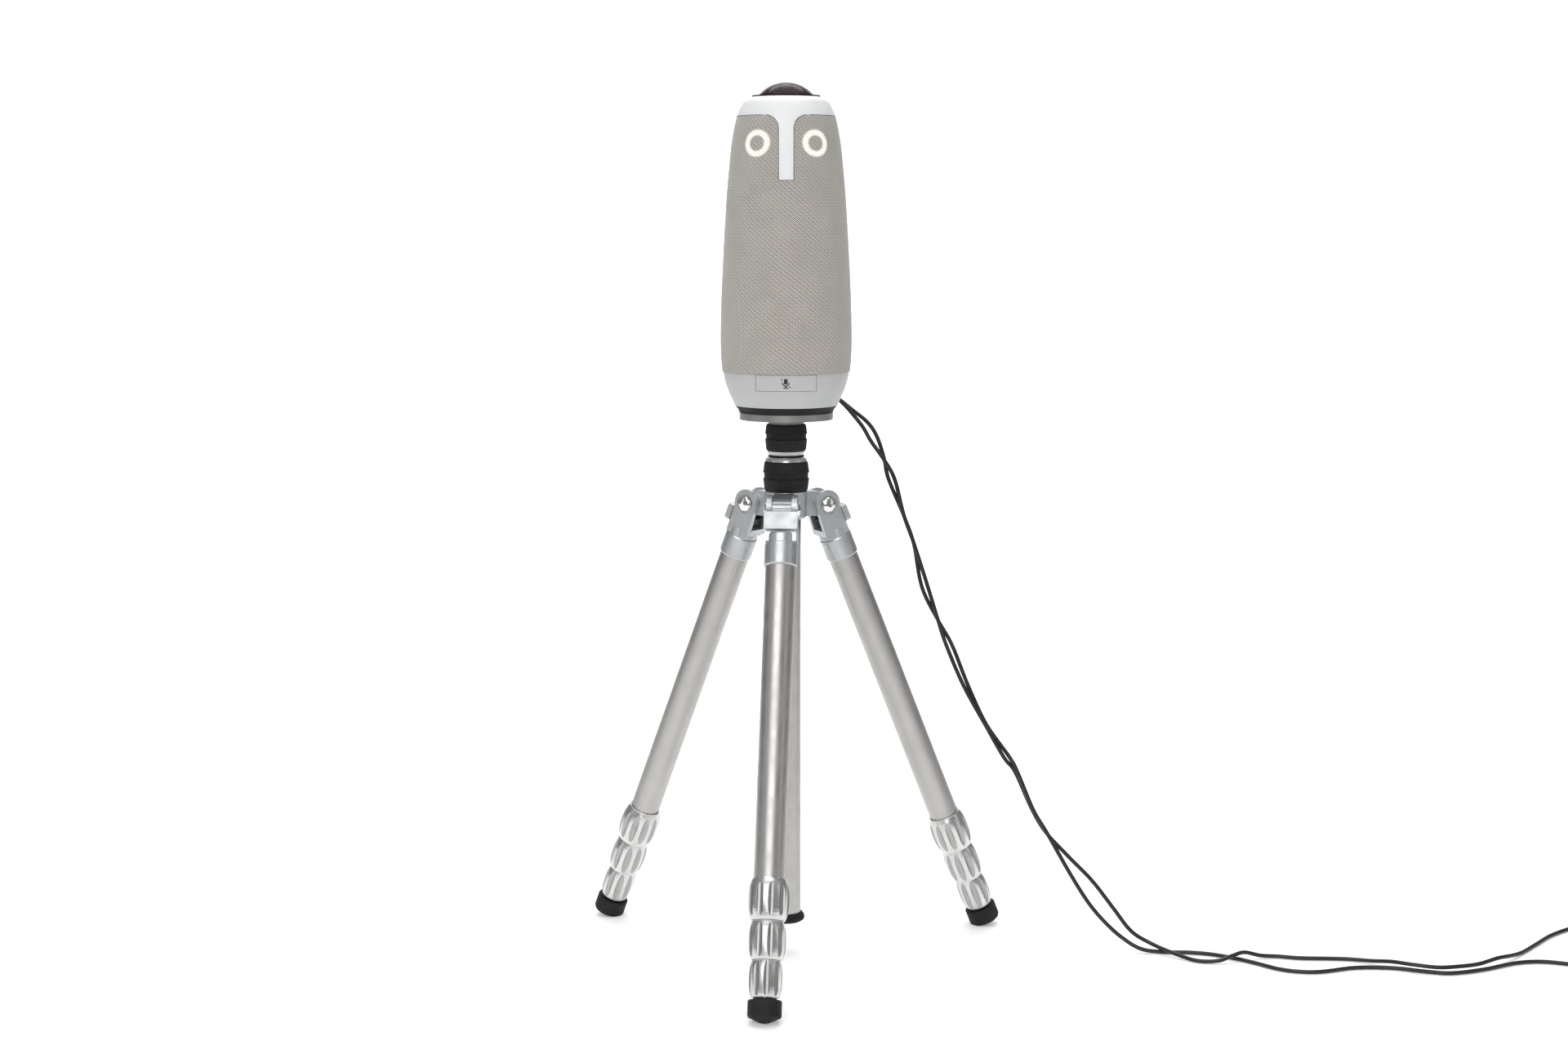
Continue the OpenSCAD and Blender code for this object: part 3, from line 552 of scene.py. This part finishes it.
def paint_scoops(node, to_leg, widest, count, turn):
    """The scooped flutes of one collar get a darker copy of the polished aluminium: painted shade in the
    hollows.
    """
    angles = [math.radians(turn + 360 * m / count) for m in range(count)]
    centres = [((widest + SCOOP_OUT) * math.cos(a), (widest + SCOOP_OUT) * math.sin(a)) for a in angles]

    def in_scoop(centre):
        p = (to_leg @ centre) / MM
        return any(math.hypot(p.x - x, p.y - y) < SCOOP_R + SCOOP_SLACK for x, y in centres)
    second_material(node, SHADED_SCOOP, in_scoop)


for i, leg in enumerate(LEGS):
    for k, collar in enumerate(COLLARS):
        paint_scoops(f"leg_{leg}_collar_{k + 1}", leg_matrix(i).inverted(), *collar)
# the bare metal ends of the two plugs start here
USB_METAL_Y = -0.0099
PRONGS_X = 0.7911
second_material("usb_plug", CHROME, lambda centre: centre.y > USB_METAL_Y)
second_material("power_adapter", CHROME, lambda centre: centre.x > PRONGS_X)


# ---------------------------------------------------------------- camera details
BEFORE_Y = -0.3                   # in front of every node


def surface_of(node):
    mesh = NODES[node].data
    return BVHTree.FromPolygons([v.co.copy() for v in mesh.vertices],
                                [tuple(p.vertices) for p in mesh.polygons])


def front_y(tree, x, z):
    """Y of the node's face seen from -Y at (x, z), or None beside the node."""
    hit = tree.ray_cast(Vector((x, BEFORE_Y, z)), Vector((0, 1, 0)))
    return hit[0].y if hit[0] is not None else None


def decal(name, outlines, node, lift, thick):
    """Thin shapes drawn in the XZ plane, laid on the node's front and raised by lift."""
    tree = surface_of(node)
    verts, faces = [], []
    for loop in outlines:
        base, n = len(verts), len(loop)
        for depth in (lift, lift - thick):
            verts += [(x, front_y(tree, x, z) - depth, z) for x, z in loop]
        faces.append(tuple(base + k for k in range(n)))
        faces.append(tuple(base + n + k for k in range(n - 1, -1, -1)))
        for k in range(n):
            m = (k + 1) % n
            faces.append((base + m, base + k, base + n + k, base + n + m))
    return mesh_piece(name, verts, faces, smooth=False)


def stroke(points, width):
    """Overlapping rectangles along a polyline, as outlines for decal."""
    out = []
    for (x0, z0), (x1, z1) in zip(points, points[1:]):
        d = Vector((x1 - x0, z1 - z0)).normalized()
        s = Vector((-d.y, d.x)) * width / 2
        e = d * width * 0.25
        out.append([(x0 - e.x - s.x, z0 - e.y - s.y), (x1 + e.x - s.x, z1 + e.y - s.y),
                    (x1 + e.x + s.x, z1 + e.y + s.y), (x0 - e.x + s.x, z0 - e.y + s.y)])
    return out


def mic_icon(icon_x, icon_z):
    """A struck-through microphone as outlines in the XZ plane."""
    capsule_r, capsule_top, capsule_low = 0.0016, 0.0022, 0.0005
    cradle_r, cradle_z = 0.0027, 0.0004
    stem_top, stem_low = -0.0023, -0.0038
    foot_half, foot_z = 0.0017, -0.0039
    strike_half, strike_top, strike_low = 0.0035, 0.0033, -0.0036
    line = 0.00085

    def at(x, z):
        return icon_x + x, icon_z + z

    def arc(r, cz, from_deg, to_deg, steps):
        angles = [math.radians(from_deg + (to_deg - from_deg) * k / steps) for k in range(steps + 1)]
        return [at(r * math.cos(a), cz + r * math.sin(a)) for a in angles]
    shapes = [arc(capsule_r, capsule_top, 0, 180, 8) + arc(capsule_r, capsule_low, 180, 360, 8)]
    shapes += stroke(arc(cradle_r, cradle_z, 180, 360, 12), line)
    shapes += stroke([at(0, stem_top), at(0, stem_low)], line)
    shapes += stroke([at(-foot_half, foot_z), at(foot_half, foot_z)], line)
    shapes += stroke([at(-strike_half, strike_top), at(strike_half, strike_low)], line)
    return shapes


def mute_icon():
    x, z, lift, thick = -0.0003, 0.4932, 0.00012, 0.0001
    icon = decal("mute_icon", mic_icon(x, z), "mute_button", lift, thick)
    finish_piece(icon, "mute", INK)


def nose_name_plate():
    """A thin blank plate on the nose strip, its rim sunk into the shell."""
    x0, x1, z0, z1 = -0.0056, 0.0056, 0.6592, 0.6855
    lift, sink, nx, nz = 0.00022, 0.00005, 10, 20
    tree = surface_of("head_shell")
    verts, faces = [], []
    for j in range(nz + 1):
        for i in range(nx + 1):
            x = x0 + (x1 - x0) * i / nx
            z = z0 + (z1 - z0) * j / nz
            inside = 0 < i < nx and 0 < j < nz
            verts.append((x, front_y(tree, x, z) + (-lift if inside else sink), z))
    for j in range(nz):
        for i in range(nx):
            a = j * (nx + 1) + i
            faces.append((a, a + 1, a + nx + 2, a + nx + 1))
    plate = mesh_piece("nose_name_plate", verts, faces)
    finish_piece(plate, "camera_stage", NOSE)


def face_seam_shadow():
    """A dark tube as painted shadow where the fabric tucks in along the head shell and around the nose
    strip (mm).
    """
    half, low, high, corner, skin_r, chamfer = 6.2, 658.0, 711.0, 11.0, 40.9, 0.3
    side_steps, corner_steps, round_steps = 8, 6, 48
    # where the ray to each surface is aimed, a little inside it, and how deep the line is sunk
    shell_share, shell_drop, sleeve_share, sleeve_drop, sunk = 0.96, 0.5, 1.06, 0.6, 0.02
    shell, sleeve = surface_of("head_shell"), surface_of("fabric_sleeve")

    def on_face(x, z):
        y = front_y(shell, x * shell_share * MM, min(z, high - shell_drop) * MM)
        if y is None:
            y = front_y(sleeve, x * sleeve_share * MM, (z - sleeve_drop) * MM)
        return Vector((x, y / MM + sunk, z))
    rise = [low + k * (high - corner - low) / side_steps for k in range(1, side_steps + 1)]
    bends = [math.pi / 2 * k / corner_steps for k in range(corner_steps + 1)]
    points = [on_face(-half, z) for z in reversed(rise)]
    points += [on_face(-half, low + chamfer), on_face(-half + chamfer, low), on_face(0, low)]
    points += [on_face(half - chamfer, low), on_face(half, low + chamfer)]
    points += [on_face(half, z) for z in rise]
    points += [on_face(half + corner - corner * math.cos(a), high - corner + corner * math.sin(a))
               for a in bends[1:]]
    start = math.asin((half + corner) / skin_r)
    for k in range(1, round_steps):
        a = start + (2 * math.pi - 2 * start) * k / round_steps
        points.append(Vector((skin_r * math.sin(a), -skin_r * math.cos(a), high)))
    points += [on_face(-half - corner + corner * math.cos(a), high - corner + corner * math.sin(a))
               for a in reversed(bends)]
    seam = cord_tube("face_seam_shadow", points, radius=0.24, sides=6)[0]
    finish_piece(seam, "camera_stage", SEAM)


mute_icon()
nose_name_plate()
face_seam_shadow()


# ---------------------------------------------------------------- stand details
def flange_dark_ring():
    """A black ring between the column's flange and its lock ring."""
    inner, outer, low, high = 0.0129, 0.0150, 0.4285, 0.4295
    bulge = (0.0154, 0.4290)
    outline = [(inner, low), (outer, low), bulge, (outer, high), (inner, high)]
    ring_mesh = mesh_piece("flange_dark_ring", *lathe(outline, 64))
    finish_piece(ring_mesh, "column", RUBBER)


def stop_block(i):
    """The black block between a bracket's ears, under the arm."""
    low, high, edge = (0.0008, -0.0081, 0.0118), (0.0088, 0.0081, 0.0199), 0.0006
    verts, faces = box_mesh(low, high, edge)
    verts = [leg_matrix(i) @ v for v in verts]
    block = mesh_piece(f"leg_{LEGS[i]}_stop_block", verts, faces, smooth=False)
    finish_piece(block, f"leg_{LEGS[i]}", STOP)


def arm_steps(i):
    """Three steps around the outer end of an arm, between the bracket's ears."""
    low, high, edge = (0.0088, -0.0077, -0.0008), (0.0101, 0.0077, 0.0008), 0.0003
    first_deg, apart_deg = -3, 22
    verts, faces = [], []
    for row in range(3):
        turn = Matrix.Rotation(-math.radians(first_deg + apart_deg * row), 4, "Y")
        step_verts, step_faces = box_mesh(low, high, edge)
        base = len(verts)
        verts += [hinge_matrix(i) @ turn @ v for v in step_verts]
        faces += [[base + k for k in face] for face in step_faces]
    steps = mesh_piece(f"arm_{LEGS[i]}_steps", verts, faces, smooth=False)
    finish_piece(steps, "hub_frame", CAST)


flange_dark_ring()
for i in range(3):
    stop_block(i)
    arm_steps(i)


# ---------------------------------------------------------------- floor, light
def backdrop():
    """White paper on the floor that curves up behind the object, faintly lit by itself."""
    half_width, front, back, bend_r, top, bend_steps = 2.6, -1.3, 2.6, 1.6, 5.0, 16
    profile = [(front, 0.0), (back, 0.0)]
    for k in range(1, bend_steps + 1):
        a = math.pi / 2 * k / bend_steps
        profile.append((back + bend_r * math.sin(a), bend_r - bend_r * math.cos(a)))
    profile.append((back + bend_r, top))
    verts = [(x, y, z) for y, z in profile for x in (-half_width, half_width)]
    faces = [(2 * k, 2 * k + 1, 2 * k + 3, 2 * k + 2) for k in range(len(profile) - 1)]
    obj = mesh_piece("floor_sweep", verts, faces)
    mat, n, bsdf = nodes_of("paper")
    n.link(n.mix(n.noise(n.place(), 3.0, 4.0), (0.90, 0.90, 0.90), (0.93, 0.93, 0.93)),
           bsdf.inputs["Base Color"])
    bsdf.inputs["Roughness"].default_value = 0.75
    bsdf.inputs["Emission Color"].default_value = (1.0, 1.0, 1.0, 1)
    bsdf.inputs["Emission Strength"].default_value = 0.26
    obj.data.materials.append(mat)


def area(name, at, look, watts, size, size_y):
    """A rectangular soft light aimed at a point."""
    data = bpy.data.lights.new(name, "AREA")
    data.shape = "RECTANGLE"
    data.size = size
    data.size_y = size_y
    data.energy = watts
    obj = bpy.data.objects.new(name, data)
    obj.location = at
    obj.rotation_euler = (Vector(look) - Vector(at)).to_track_quat("-Z", "Y").to_euler()
    bpy.context.scene.collection.objects.link(obj)


def studio_world():
    """A soft grey surround, lighter overhead."""
    world = bpy.data.worlds.new("studio")
    bpy.context.scene.world = world
    world.use_nodes = True
    n = Nodes(world.node_tree)
    height = n.split(n.add("ShaderNodeTexCoord").outputs["Generated"])[2]
    background = world.node_tree.nodes["Background"]
    n.link(n.mix(n.ramp(height, -0.1, 0.9), (0.46, 0.46, 0.465), (0.80, 0.81, 0.82)),
           background.inputs["Color"])
    background.inputs["Strength"].default_value = 0.40


backdrop()
area("top_box", (0.0, -0.1, 2.9), (0, 0.1, 0), 30, 2.2, 2.2)
area("front_box", (-0.55, -2.9, 2.4), (0, 0, 0.35), 47, 3.0, 1.5)
area("low_box", (-0.1, -3.4, 0.9), (0, 0, 0.4), 10, 1.4, 1.0)
area("left_box", (-2.6, -0.9, 1.3), (0, 0, 0.35), 2, 0.8, 1.6)
area("right_box", (2.6, -0.9, 1.3), (0, 0, 0.35), 3, 0.8, 1.6)
area("back_wash", (0.0, 2.2, 3.2), (0, 3.2, 0.8), 70, 2.6, 2.6)
studio_world()
bpy.context.scene.view_settings.view_transform = "Standard"
bpy.context.scene.view_settings.exposure = 0.0
